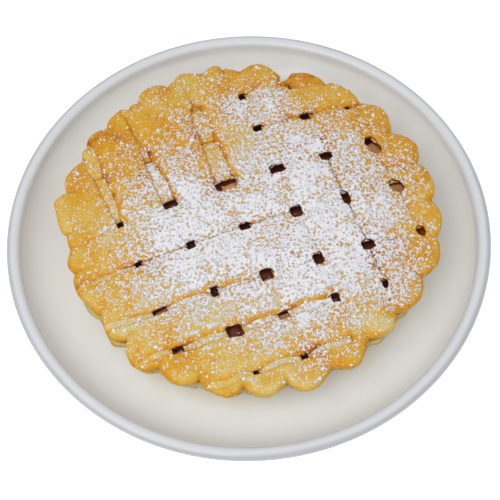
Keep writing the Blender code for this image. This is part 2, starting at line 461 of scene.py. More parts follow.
@dataclass(frozen=True)
class DustedPastry(Finish):
    """Baked dough with powdered sugar on it, read from the points' bake and dust values."""

    effects: SharedEffects
    dough_relief: float = 0.00025
    sugar_relief: float = 0.00050
    sugar_roughness: float = 0.95

    def sockets(self, graph: NodeGraph) -> dict[str, object]:
        """Dough where the sugar's mask is 0 and sugar where it is 1, with both reliefs.

        Args:
            graph: the material's graph.

        Returns:
            The names of the shader's sockets with what feeds each.
        """
        dough = graph.add('ShaderNodeGroup', node_tree=self.effects.baked)
        powder = graph.add('ShaderNodeGroup', node_tree=self.effects.powder)
        graph.feed(dough, {"Bake": graph.attribute("bake")})
        graph.feed(powder, {"Threshold": graph.attribute("dust")})
        mask = powder.outputs["Mask"]
        rough = graph.add('ShaderNodeMix', {0: mask, 2: dough.outputs["Roughness"],
                                            3: self.sugar_roughness}, data_type='FLOAT')
        relief = graph.bump(dough.outputs["Height"], 0.5, self.dough_relief)
        relief = graph.bump(powder.outputs["Height"], 0.9, self.sugar_relief, Normal=relief)
        return {"Base Color": graph.mix(mask, dough.outputs["Color"], powder.outputs["Color"]),
                "Roughness": rough.outputs[0], "Specular IOR Level": 0.15, "Normal": relief}


@dataclass(frozen=True)
class CookedFruit(Finish):
    """Dark moist filling with paler pieces of fruit, read from the points' fruit value."""

    name: str = "cooked fruit"
    sauce_dark: tuple = (0.16, 0.030, 0.022)
    sauce_light: tuple = (0.38, 0.115, 0.052)
    fruit_dark: tuple = (0.56, 0.20, 0.075)
    fruit_light: tuple = (0.84, 0.43, 0.155)

    def sockets(self, graph: NodeGraph) -> dict[str, object]:
        """Streaked sauce, and streaked fruit where the fruit value and the pulp together are high.

        Args:
            graph: the material's graph.

        Returns:
            The names of the shader's sockets with what feeds each.
        """
        streaks = graph.noise(260.0, 4.0, 0.6)
        pulp = graph.noise(900.0, 3.0, 0.6)
        sauce = graph.ramp(streaks, ((0.35, self.sauce_dark), (0.7, self.sauce_light)))
        flesh = graph.ramp(streaks, ((0.3, self.fruit_dark), (0.65, self.fruit_light)))
        both = graph.math('ADD', graph.attribute("fruit"), graph.math('MULTIPLY', pulp, 0.3))
        return {"Base Color": graph.mix(graph.spread(both, 0.45, 0.8), sauce, flesh),
                "Roughness": graph.spread(pulp, 0.3, 0.7, 0.35, 0.55), "Specular IOR Level": 0.2,
                "Normal": graph.bump(pulp, 0.5, 0.0005)}


@dataclass(frozen=True)
class SugarGrain(Finish):
    """White matt sugar of the loose grains."""

    name: str = "sugar grains"

    def sockets(self, graph: NodeGraph) -> dict[str, object]:
        """A faint speckle in the white and in the roughness."""
        speckle = graph.noise(2600.0, 2.0, 0.6)
        return {"Base Color": graph.ramp(speckle, ((0.3, (0.72, 0.715, 0.74)), (0.7, (0.80, 0.795, 0.82)))),
                "Roughness": graph.spread(speckle, 0.3, 0.7, 0.8, 0.95), "Specular IOR Level": 0.3}


@dataclass(frozen=True)
class WhiteGlaze(Finish):
    """Glossy cool-white glaze; darker and warmer on the inner wall as painted shade, greyer on the lip partly
    as its own cooler glaze and partly as a painted reflection, and grey outside it as painted shade.
    """

    name: str = "white glaze"
    well: tuple = (0.880, 0.905, 0.935, 1.0)

    # What follows the well's colour outwards: (colour, from this radius, to this radius)
    # The inner wall's darker, warmer tone and the grey outside are painted shade; the lip's grey is partly
    # the glaze's own cooler tone and partly a painted reflection.
    ZONES_WITH_PAINTED_SHADE = (((0.850, 0.865, 0.875, 1.0), 0.088, 0.102), ((0.69, 0.70, 0.73, 1.0), 0.1030, 0.1048),
             ((0.45, 0.455, 0.48, 1.0), 0.1070, 0.1094))

    def sockets(self, graph: NodeGraph) -> dict[str, object]:
        """Colours of the zones by radius, which a slow noise sways, under a faint cloud.

        Args:
            graph: the material's graph.

        Returns:
            The names of the shader's sockets with what feeds each.
        """
        parts = graph.add('ShaderNodeSeparateXYZ', {"Vector": graph.place}).outputs
        square = graph.math('ADD', *(graph.math('MULTIPLY', parts[axis], parts[axis]) for axis in "XY"))
        radius = graph.sway(graph.math('SQRT', square), graph.noise(30.0, 2.0, 0.5), 0.001)
        colour = self.well
        # Each darker zone outwards is laid over the well's colour: painted shade on the wall and outside,
        # partly a painted reflection on the lip.
        for tone, start, end in self.ZONES_WITH_PAINTED_SHADE:
            colour = graph.mix(graph.spread(radius, start, end), colour, tone)
        cloud = graph.noise(45.0, 3.0, 0.5)
        tint = graph.ramp(cloud, ((0.3, (0.975, 0.975, 0.975)), (0.7, (1.0, 1.0, 1.0))))
        return {"Base Color": graph.mix(1.0, colour, tint, 'MULTIPLY'),
                "Roughness": graph.spread(cloud, 0.3, 0.7, 0.20, 0.27),
                "Normal": graph.bump(graph.noise(60.0, 1.0), 0.08, 0.0004)}


@dataclass(frozen=True)
class PaleFloor(Finish):
    """Plain near-white paper floor."""

    name: str = "pale floor"

    def sockets(self, graph: NodeGraph) -> dict[str, object]:
        """Faintly fibrous paper that glows a little, so that it stays near white."""
        colour = graph.ramp(graph.noise(400.0, 3.0, 0.6), ((0.3, (0.93,) * 3), (0.7, (0.96,) * 3)))
        return {"Base Color": colour, "Roughness": 0.9, "Emission Color": colour,
                "Emission Strength": 0.35}


# The weave, shared by every piece of pastry


# The rim's lobes in turn: (angle of the valley before it in degrees, that valley's radius in
# millimetres, angle of the tip, the tip's radius, roundness: low is full, 1 and over is pointed)
LOBES = (
    (5.3, 83.4, 11.6, 86.8, 0.55), (18.7, 83.0, 26.0, 87.5, 0.70), (32.5, 81.2, 41.2, 87.2, 0.90),
    (48.2, 82.2, 56.0, 85.9, 0.45), (61.7, 83.8, 67.8, 86.6, 0.50), (73.9, 83.8, 75.6, 77.4, 0.50),
    (77.0, 80.8, 84.2, 86.5, 0.80), (90.2, 82.2, 94.6, 84.5, 0.70), (96.2, 83.8, 98.4, 87.3, 0.50),
    (102.0, 84.7, 109.4, 88.0, 0.60), (112.2, 84.8, 113.4, 84.7, 0.60), (115.1, 83.0, 120.8, 88.0, 0.60),
    (126.6, 82.4, 128.7, 83.7, 0.60), (130.7, 82.2, 134.0, 86.1, 0.50), (139.8, 83.3, 145.8, 87.3, 0.80),
    (149.8, 84.6, 151.2, 85.7, 0.60), (153.9, 83.3, 162.0, 86.7, 0.65), (167.2, 83.0, 173.0, 86.7, 0.45),
    (181.9, 81.4, 184.3, 81.3, 0.60), (187.2, 79.9, 192.9, 82.4, 0.80), (196.6, 79.6, 203.0, 82.8, 0.60),
    (213.0, 78.3, 220.6, 81.9, 0.80), (226.2, 77.9, 232.9, 85.6, 0.75), (239.8, 80.2, 246.8, 84.2, 0.65),
    (252.8, 79.0, 260.2, 85.0, 0.75), (266.6, 80.0, 273.4, 84.8, 0.80), (280.0, 79.5, 286.2, 85.9, 0.95),
    (294.5, 79.6, 301.6, 84.8, 1.45), (309.8, 78.2, 316.4, 82.5, 0.90), (322.6, 78.8, 330.0, 84.8, 0.60),
    (337.2, 81.2, 344.6, 87.1, 0.75), (352.1, 84.2, 358.6, 87.4, 0.80),
)


@dataclass(frozen=True)
class Rim:
    """The pie's fluted outline: rounded lobes of uneven size with sharp valleys."""

    radius: float = 0.0850
    warp_from: float = 0.80
    ragged: float = 0.00035
    corner_at: float = math.radians(170.8)
    corner_width: float = 0.035
    corner_reach: float = 0.0018

    def lobes(self, angle: Array) -> tuple[Array, Array, Array]:
        """Shape of the lobes: the sine of the leaning phase, to the power of the roundness.

        The phase runs from 0 to 1 between two valleys, to the power that makes it one half at the tip.

        Args:
            angle: angles round the pie.

        Returns:
            Lobe height from 0 in a valley to 1 at a tip, radius between the valleys, and the rise of
            the tip above it.
        """
        table = np.array(LOBES)
        starts = np.radians(np.append(table[:, 0], table[0, 0] + 360.0))
        valleys = MM * np.append(table[:, 1], table[0, 1])
        tips = (np.radians(table[:, 2]) - starts[:-1]) / np.diff(starts)
        lean = math.log(0.5) / np.log(tips)
        along = (angle - starts[0]) % TURN + starts[0]
        which = np.clip(np.searchsorted(starts, along, side="right") - 1, 0, len(table) - 1)
        phase = (along - starts[which]) / (starts[which + 1] - starts[which])
        phase = np.clip(phase, 0.0, 1.0) ** lean[which]
        base = valleys[which] + (valleys[which + 1] - valleys[which]) * phase
        rise = MM * table[which, 3] - 0.5 * (valleys[which] + valleys[which + 1])
        return np.maximum(np.sin(math.pi * phase), 0.0) ** table[which, 4], base, rise

    def outline(self, angle: Array) -> Array:
        """Radius of the outline: base between valleys, the lobe's rise, small waves and one corner.

        Args:
            angle: angles round the pie.

        Returns:
            The radius at each angle.
        """
        lobe, base, rise = self.lobes(angle)
        waves = self.ragged * lumps(self.radius * np.cos(angle), self.radius * np.sin(angle), 0.0030, 21)
        corner = self.corner_reach * bell(away_from(angle, self.corner_at), self.corner_width)
        return base + rise * lobe + waves + corner

    def share(self, radius: Array) -> Array:
        """How far the outline's flutes reach in: 1 at the rim, 0 inside warp_from of it."""
        return smooth((radius / self.radius - self.warp_from) / (1.0 - self.warp_from))

    def warp(self, x: Array, y: Array) -> tuple[Array, Array]:
        """Push a round disc's edge out to the fluted outline, and leave its middle alone."""
        growth = (self.outline(np.arctan2(y, x)) / self.radius - 1.0) * self.share(np.hypot(x, y))
        return x * (1.0 + growth), y * (1.0 + growth)

    def unwarp(self, x: Array, y: Array) -> tuple[Array, Array]:
        """Undo warp by repeating its division until it settles.

        Args:
            x, y: plan places on the finished pie.

        Returns:
            The places on the round disc.
        """
        radius = np.hypot(x, y)
        growth = self.outline(np.arctan2(y, x)) / self.radius - 1.0
        flat = radius
        for _ in range(14):
            flat = 0.5 * flat + 0.5 * radius / (1.0 + growth * self.share(flat))
        ratio = flat / np.maximum(radius, 1e-9)
        return x * ratio, y * ratio


@dataclass(frozen=True)
class Seam:
    """A seam between two strips: a tilted, slightly bowed line and the gaps along it.

    Places and gaps of the upper gap are in millimetres, as pairs along the seam.
    """

    offset: float
    tilt: float
    bow: float
    upper: tuple
    under_gap: float

    def line(self, u: Array) -> Array:
        """Sideways place of the seam: offset, plus tilt times u, plus a parabola for the bow."""
        return self.offset + math.tan(math.radians(self.tilt)) * u + self.bow * (1.0 - (u / 0.085) ** 2)

    def top_gap(self, u: Array) -> Array:
        """Gap between strips that lie on top, run straight between the given places."""
        places, gaps = zip(*self.upper)
        return MM * np.interp(u / MM, places, gaps)


@dataclass(frozen=True)
class Family:
    """The strips that run one way; order is 0 for those from left to right and 1 for the others."""

    letter: str
    order: int
    angle: float
    seams: tuple[Seam, ...]
    middle: int
    rising: float

    def own(self, x: Array, y: Array) -> tuple[Array, Array]:
        """Turn plan coordinates into u along the strips and v across them."""
        return turned(x, y, -self.angle)

    def plan(self, u: Array, v: Array) -> tuple[Array, Array]:
        """Turn u and v back into plan coordinates."""
        return turned(u, v, self.angle)


FAMILIES = (
    Family("a", 0, math.radians(17.0), (
        Seam(0.0634, -4.6, 0.0, ((0, 0.6), (80, 1.0)), 0.0016),
        Seam(0.0410, -1.0, 0.0020, ((8, -0.3), (26, 0.1), (34, 0.8), (75, 1.3)), 0.0020),
        Seam(0.0150, 1.0, 0.0025, ((-60, 0.1), (-50, 0.3), (44, 0.3), (52, -0.5)), 0.0026),
        Seam(-0.0080, 0.3, 0.0020,
             ((-80, 0.9), (-62, 1.3), (-55, 1.0), (-50, 0.2), (-30, 0.3), (30, 0.3)), 0.0026),
        Seam(-0.0315, 0.0, 0.0, ((-80, 1.5), (-54, 1.5), (-30, 1.6), (-12, 0.7), (6, -0.5)), 0.0026),
        Seam(-0.0510, 0.0, -0.0005, ((-66, 0.6), (-54, 2.0), (-30, 2.6), (34, 2.3), (48, 0.4)), 0.0034),
        Seam(-0.0720, 0.7, 0.0, ((-45, 0.8), (-10, 2.0), (28, 1.9), (42, 0.8)), 0.0030),
    ), 2, -1.0),
    Family("b", 1, math.radians(-72.0), (
        Seam(-0.0535, 4.0, 0.0, ((-65, 5.2), (-45, 4.2), (-20, 2.4)), 0.0030),
        Seam(-0.0285, 5.0, -0.0005, ((-72, 0.1), (-54, 0.4), (-44, 3.2), (-16, 5.4)), 0.0034),
        Seam(-0.0010, 1.0, -0.0025, ((-76, 0.1), (-66, 0.5), (-61, 5.0), (-20, 7.4)), 0.0040),
        Seam(0.0210, 1.0, 0.0, ((-80, -0.3), (-40, 0.3), (-20, -0.5), (80, -0.6)), 0.0030),
        Seam(0.0435, 0.7, 0.0010, ((-20, 0.3), (30, 0.5), (44, 0.4), (52, -0.5)), 0.0030),
        Seam(0.0665, 4.0, 0.0015, ((-40, -0.5), (40, -0.3)), 0.0034),
    ), 3, 1.0),
)

# Holes where two seams cross: (A seam, B seam) to millimetres (along the A strips, across them)
HOLES = {
    (0, 2): (5.0, 0.4), (0, 3): (3.0, 2.6), (0, 4): (1.4, 0.8), (1, 1): (3.4, 0.8), (1, 2): (4.6, 0.5),
    (1, 3): (4.2, 3.2), (1, 4): (4.0, 3.4), (1, 5): (2.0, 1.4), (2, 0): (2.6, 3.4), (2, 1): (6.0, 4.6),
    (2, 2): (9.4, 5.8), (2, 3): (6.6, 3.8), (2, 4): (5.4, 3.4), (2, 5): (5.0, 8.6), (3, 0): (2.6, 2.0),
    (3, 1): (3.8, 3.4), (3, 2): (4.5, 3.2), (3, 3): (4.8, 5.6), (3, 4): (3.2, 5.6), (3, 5): (5.0, 5.6),
    (4, 0): (6.0, 2.6), (4, 1): (3.0, 4.6), (4, 2): (5.0, 5.0), (4, 3): (4.0, 5.0), (4, 4): (5.4, 3.8),
    (4, 5): (3.0, 4.0), (5, 0): (4.8, 2.6), (5, 1): (6.6, 5.2), (5, 2): (4.2, 3.2), (5, 3): (2.6, 3.8),
    (5, 4): (2.2, 3.6), (6, 1): (2.2, 1.5), (6, 2): (2.5, 1.3),
}


@dataclass
class Skin:
    """Surface of one strip, one number a point.

    The first four are places: x and y after the rim's warp, top and underside.  Level is 1 where the
    strip lies on top of the weave and 0 beneath, side and inside are the distances from its long
    edges and from the rim, angle goes round the pie, and bare, near and loose say how far a place is
    an edge that sugar slides off, a hole's surround and an open seam's edge.
    """

    x: Array
    y: Array
    top: Array
    under: Array
    level: Array
    side: Array
    inside: Array
    angle: Array
    bare: Array
    near: Array
    loose: Array


@dataclass
class Weave:
    """What the strips share: the rim, the dome, the crossings of the seams and the sizes of dough."""

    rim: Rim = field(default_factory=Rim)
    rim_top: float = 0.0300
    crown: float = 0.0077
    dome_radius: float = 0.0875
    dough: float = 0.0029
    drop: float = 0.0016
    step_near: float = 0.0023
    step_far: float = -0.0001

    # A hidden seam's gap at the rim, where and over what length it gets that, its reach round a hole
    rim_gap: float = 0.0003
    rim_gap_from: float = 0.062
    rim_gap_over: float = 0.010
    hidden_reach: float = 0.0075

    # Holes: what is added to a box and round its ends, the widest slot and the least hole that is
    # dark all round, with the reach of that beyond its half length (the last three in millimetres)
    hole_margin: float = 0.0005
    hole_rounding: float = 0.0004
    widest_slot: float = 1.0
    least_spot: float = 1.2
    spot_margin: float = 1.6

    # How the first strip's edge bends away from its seam at the right
    flare: float = 0.0114
    flare_from: float = 0.016
    flare_over: float = 0.0285

    # Rounding of a strip's long edges, (width, drop) where its seam is closed and where it is open,
    # on the side that the seam hides and on the side that stands free
    hidden: tuple = ((0.0016, 0.00055), (0.0014, 0.0009))
    shown: tuple = ((0.0019, 0.00070), (0.0040, 0.0022))
    open_gap: float = 0.0016
    belly: float = 0.00070
    belly_width: float = 0.0075
    rim_width: float = 0.0046
    rim_drop: float = 0.0021
    crease: float = 0.0013
    crease_reach: float = 0.009
    thinnest: float = 0.0003

    # Where sugar slides off an open seam's edge, and where it is bare
    loose_width: float = 0.004
    bare_width: float = 0.0017
    bare_fade: float = 0.0020
    crossings: dict = field(default_factory=dict)
    spots: list = field(default_factory=list)

    def __post_init__(self) -> None:
        """Find where the seams cross, by repeating where two straight lines would."""
        a, b = FAMILIES
        spread = math.sin(b.angle - a.angle)
        for (i, j), size in HOLES.items():
            x = y = 0.0
            for _ in range(12):
                mine, other = a.seams[i].line(a.own(x, y)[0]), b.seams[j].line(b.own(x, y)[0])
                x = (mine * math.cos(b.angle) - other * math.cos(a.angle)) / spread
                y = (mine * math.sin(b.angle) - other * math.sin(a.angle)) / spread
            self.crossings[i, j] = (a.own(x, y)[0], b.own(x, y)[0], x, y)
            if min(size) > self.least_spot:
                self.spots.append((x, y, MM * (0.5 * max(size) + self.spot_margin)))

    def strips(self) -> list["Strip"]:
        """Every strip of both families."""
        return [Strip(self, family, index) for family in FAMILIES for index in range(len(family.seams) + 1)]

    def dome(self, x: Array, y: Array) -> Array:
        """Height of the lattice's top: a parabola over the rim, with broad shared lumps."""
        height = self.rim_top + self.crown * (1.0 - (x * x + y * y) / self.dome_radius ** 2)
        return height + layered(x, y, (0.00045, 0.021, 31), (0.00022, 0.009, 32))

    def near_hole(self, x: Array, y: Array) -> Array:
        """1 beside a hole and 0 away from it: the highest of the holes' flat-topped bells."""
        return np.max([bell(np.hypot(x - hx, y - hy), reach, 4) for hx, hy, reach in self.spots], axis=0)

    def visible_top(self, x: Array, y: Array) -> tuple[Array, Array, Array]:
        """Top of whatever strip shows at plan points: the highest of those that reach there.

        Args:
            x, y: plan places on the finished pie.

        Returns:
            The height, which is below zero where a hole shows, the distance from the strip's
            sides and the distance from the rim.
        """
        x0, y0 = self.rim.unwarp(x, y)
        best, side, inside = np.full_like(x, -1.0), np.zeros_like(x), np.zeros_like(x)
        for strip in self.strips():
            u, v = strip.family.own(x0, y0)
            held = np.hypot(x0, y0) < self.rim.radius
            for edge, sign in zip(strip.edges(u), (strip.family.rising, -strip.family.rising)):
                if edge is not None:
                    held &= (v - edge) * sign > 0.0
            if held.any():
                skin = strip.surface(x0[held], y0[held])
                higher = skin.top > best[held]
                places = np.flatnonzero(held)[higher]
                for kept, found in ((best, skin.top), (side, skin.side), (inside, skin.inside)):
                    kept[places] = found[higher]
        return best, side, inside


@dataclass(frozen=True)
class Strip:
    """One strip of dough: its edges in plan, its level, its surface and its grid of points."""

    weave: Weave
    family: Family
    index: int
    ends_inside: float = 0.992
    usual_width: float = 0.023
    rounds: int = 40

    @property
    def outer(self) -> bool:
        """Whether the rim is one of its long edges."""
        return self.index in (0, len(self.family.seams))

    def level(self, x: Array, y: Array) -> Array:
        """A smooth step across the other family's middle seam.

        Args:
            x, y: plan places on the finished pie.

        Returns:
            1 where the strip lies on top, 0 where it lies beneath.
        """
        other = FAMILIES[1 - self.family.order]
        u, v = other.own(x, y)
        past = (v - other.seams[other.middle].line(u)) * (1.0 if self.index <= self.family.middle else -1.0)
        return smooth((past + self.weave.step_near) / (self.weave.step_near + self.weave.step_far))

    def gap(self, seam_index: int, u: Array, top: Array) -> Array:
        """Width of a seam's gap.

        The seam's own gap, pulled to each hole's size round its crossing: by a flat-topped bell
        as long as the hole where strips lie on top, and by a broad bell where they lie beneath.

        Args:
            seam_index: the seam's number.
            u: places along it.
            top: level of the strip there.

        Returns:
            The width at each place.
        """
        weave, order, seam = self.weave, self.family.order, self.family.seams[seam_index]
        usual = on_top = seam.top_gap(u)
        outward = smooth((np.hypot(u, seam.line(u)) - weave.rim_gap_from) / weave.rim_gap_over)
        closed = beneath = seam.under_gap + (weave.rim_gap - seam.under_gap) * outward
        for key, size in HOLES.items():
            if key[order] == seam_index:
                away = u - weave.crossings[key][order]
                margin = weave.hole_margin if min(size) > weave.widest_slot else 0.0
                along, wide = MM * size[order] + margin, MM * size[1 - order] + margin
                pulled = bell(away, 0.5 * along + weave.hole_rounding, 8)
                on_top = on_top + np.maximum(wide - usual, 0.0) * pulled
                beneath = beneath + (wide - closed) * bell(away, weave.hidden_reach)
        return on_top * top + beneath * (1.0 - top)

    def edge(self, after: int, u: Array) -> Array | None:
        """One long edge: its seam's line, half the seam's gap and three sizes of wobble.

        Args:
            after: 0 for the edge at the seam before the strip, 1 for the one after it.
            u: places along the strip.

        Returns:
            The edge's v at each u, or None where the rim is the edge.
        """
        family, seam_index = self.family, self.index - 1 + after
        if not 0 <= seam_index < len(family.seams):
            return None
        v = family.seams[seam_index].line(u)
        number = seam_index + 10 * family.order
        flat = np.zeros_like(u)
        wobble = layered(u, flat, (0.00028, 0.007, 101 + number), (0.00013, 0.0026, 131 + number))
        half = 0.5 * self.gap(seam_index, u, self.level(*family.plan(u, v)))
        if family.order == 0 and self.index == 0:
            bent = np.clip((u - self.weave.flare_from) / self.weave.flare_over, 0.0, 1.3) ** 1.25
            half = half + self.weave.flare * bent
        own = layered(u, flat, (0.00016, 0.0032, 162 - after + 2 * number))
        return v + wobble + (1.0 - 2.0 * after) * family.rising * (half + own)

    def edges(self, u: Array) -> list[Array | None]:
        """Both long edges at u, before and after."""
        return [self.edge(after, u) for after in (0, 1)]

    def surface(self, x0: Array, y0: Array) -> Skin:
        """Top and underside at unwarped plan points.

        The top is the dome with a slight belly across the strip, less the drop of a strip that
        lies underneath, less quarter-round drops at its sides and at the rim, plus small lumps of
        its own.  The underside is the same dome one thickness of dough below.

        Args:
            x0, y0: plan places before the rim's warp.

        Returns:
            The strip's surface.
        """
        weave, family = self.weave, self.family
        u, v = family.own(x0, y0)
        x, y = weave.rim.warp(x0, y0)
        near, level = weave.near_hole(x0, y0), self.level(x0, y0)
        side = np.full_like(u, 0.05)
        shoulder, bare, loose = (np.zeros_like(u) for _ in range(3))
        for after, edge in enumerate(self.edges(u)):
            if edge is None:
                continue
            distance = np.abs(v - edge)
            side = np.minimum(side, distance)
            opened = smooth(family.seams[self.index - 1 + after].top_gap(u) / weave.open_gap)
            opened = (opened * level + 0.7 * (1.0 - level)) * (1.0 - 0.8 * near)
            shown = after != family.order
            sizes = zip(*(weave.shown if shown else weave.hidden))
            width, drop = (closed + (wide - closed) * opened for closed, wide in sizes)
            shoulder = np.hypot(shoulder, drop * quarter_round(distance, width))
            loose = np.maximum(loose, opened * bell(distance, weave.loose_width))
            if shown:
                covered = smooth((distance - weave.bare_width) / weave.bare_fade)
                bare = np.maximum(bare, opened * (1.0 - covered))
        angle = np.arctan2(y, x)
        inside = weave.rim.outline(angle) - np.hypot(x, y)
        outward = smooth((np.hypot(x0, y0) - 0.066) / 0.016)
        base = weave.dome(x, y) - (1.0 - level) * weave.drop * (1.0 - 0.35 * outward)
        base = base + weave.belly * (smooth(side / weave.belly_width) - 0.6) * (1.0 - near)
        edge = weave.rim_drop * quarter_round(inside, weave.rim_width)
        valley = (1.0 - weave.rim.lobes(angle)[0]) ** 1.5
        fold = weave.crease * valley * smooth(1.0 - inside / weave.crease_reach)
        fall = np.minimum(np.hypot(shoulder, edge) + fold, 0.86 * weave.dough)
        seed = 40 + self.index + 20 * family.order
        own = layered(x, y, (0.00016, 0.006, seed), (0.00007, 0.0024, seed + 50))
        upper = base - fall + own + 0.00006 * lumps(u / 6.0, v, 0.0016, seed + 90)
        lower = np.minimum(base - weave.dough + 0.25 * fall, upper - weave.thinnest)
        return Skin(x, y, upper, lower, level, side, inside, angle, bare, near, loose)

    def outer_grid(self, spacing: float) -> tuple[Array, Array]:
        """Points of an outer strip, from where its one seam meets the disc's circle to its other end.

        Args:
            spacing: distance between points.

        Returns:
            u and v, each rows by columns, from the seam to the circle or the other way.
        """
        radius, after = self.weave.rim.radius, int(self.index == 0)
        ends = np.array([-0.6, 0.6]) * radius
        for _ in range(self.rounds):
            seam = self.edge(after, ends)
            ends = 0.5 * (ends + np.sign(ends) * half_chord(radius, seam))
        ends = ends * self.ends_inside
        rows = int((ends[1] - ends[0]) / spacing)
        columns = int((radius - float(np.abs(seam).min())) / spacing) + 6
        u = (ends[0] + (ends[1] - ends[0]) * crowded(rows, 0.35))[:, None] * np.ones((1, columns))
        across = [self.edge(after, u), (1.0 - 2.0 * after) * self.family.rising * half_chord(radius, u)]
        start, end = across[::-1] if after else across
        return u, start + (end - start) * crowded(columns, 0.5)[None, :]

    def inner_grid(self, spacing: float) -> tuple[Array, Array]:
        """Points of an inner strip, blended across between its edges, and along up to the circle.

        Args:
            spacing: distance between points.

        Returns:
            u and v, each rows by columns.
        """
        radius = self.weave.rim.radius
        t = crowded(int(self.usual_width / spacing) + 8, 0.5)[None, :]
        ends = [sign * 0.7 * radius * np.ones_like(t) for sign in (-1.0, 1.0)]
        for _ in range(self.rounds):
            for end, u in enumerate(ends):
                before, after = self.edges(u)
                ends[end] = 0.5 * (u + np.sign(u) * half_chord(radius, before + (after - before) * t))
        rows = int((ends[1] - ends[0]).mean() / spacing)
        u = ends[0] + (ends[1] - ends[0]) * crowded(rows, 0.12)[:, None]
        before, after = self.edges(u)
        return u, before + (after - before) * t


# Sugar and browning as fields over the pie


@dataclass(frozen=True)
class Dusting:
    """How thickly powdered sugar lies, as the share of the crust that it hides."""

    centre: tuple = (0.0086, -0.0035)
    reach: tuple = (0.0626, 0.0598)
    fade: float = 0.125
    peak: float = 0.86
    base: float = 0.105
    contrast: float = 1.12
    noise_middle: float = 0.5
    noise_spread: float = 0.088
    grain_most: float = 0.86
    grain_least: float = 0.16

    # Broad patches that add or take away: (amount, then x, y and reach in millimetres)
    PATCHES = (
        (0.46, 12.8, 63.2, 10.5), (0.44, -5.5, 60.5, 9.5), (-0.42, -14.1, 31.5, 17.5),
        (0.30, 74.0, -40.0, 15.0), (0.22, 76.0, 27.0, 8.0), (0.17, -52.0, -50.0, 20.0),
        (0.13, 20.0, -79.0, 30.0), (-0.10, 4.0, -50.0, 18.0), (0.07, -60.0, 30.0, 25.0),
        (-0.20, 34.0, 72.0, 8.0), (0.11, -74.0, -30.0, 20.0), (-0.10, 5.0, 75.0, 10.0),
        (0.20, 69.0, 10.0, 7.0), (0.12, 26.0, -40.0, 12.0), (-0.14, 13.0, 28.0, 9.0),
    )

    def grains(self, share: Array) -> Array:
        """Part of the cover that loose grains make: most of a thin one and little of a thick one."""
        return share * (self.grain_most + (self.grain_least - self.grain_most) * share)

    def cover(self, x: Array, y: Array) -> Array:
        """Share hidden by sugar: an oval with a soft edge, a few bell-shaped patches and lumps.

        Args:
            x, y: plan places.

        Returns:
            The share at each place.
        """
        oval = np.hypot((x - self.centre[0]) / self.reach[0], (y - self.centre[1]) / self.reach[1])
        share = self.base + self.peak / (1.0 + np.exp((oval - 1.0) / self.fade))
        for amount, px, py, reach in self.PATCHES:
            share += amount * bell(np.hypot(x - MM * px, y - MM * py), MM * reach)
        share = share + layered(x, y, (0.10, 0.013, 71), (0.12, 0.0055, 72))
        return np.clip(share, 0.05, 0.96) ** self.contrast

    def threshold(self, share: Array) -> Array:
        """Noise value above which a share of a bell-shaped noise lies: the logit over 1.702."""
        share = np.clip(share, 0.002, 0.998)
        return self.noise_middle + self.noise_spread * np.log((1.0 - share) / share) / 1.702


def steepness(grid: Array) -> Array:
    """Upward part of the surface normal on a grid, from the cross product of its two slopes."""
    normal = np.cross(np.gradient(grid, axis=0), np.gradient(grid, axis=1))
    return (np.abs(normal[:, :, 2]) / np.maximum(np.linalg.norm(normal, axis=2), 1e-12)).ravel()


# Sub-assemblies


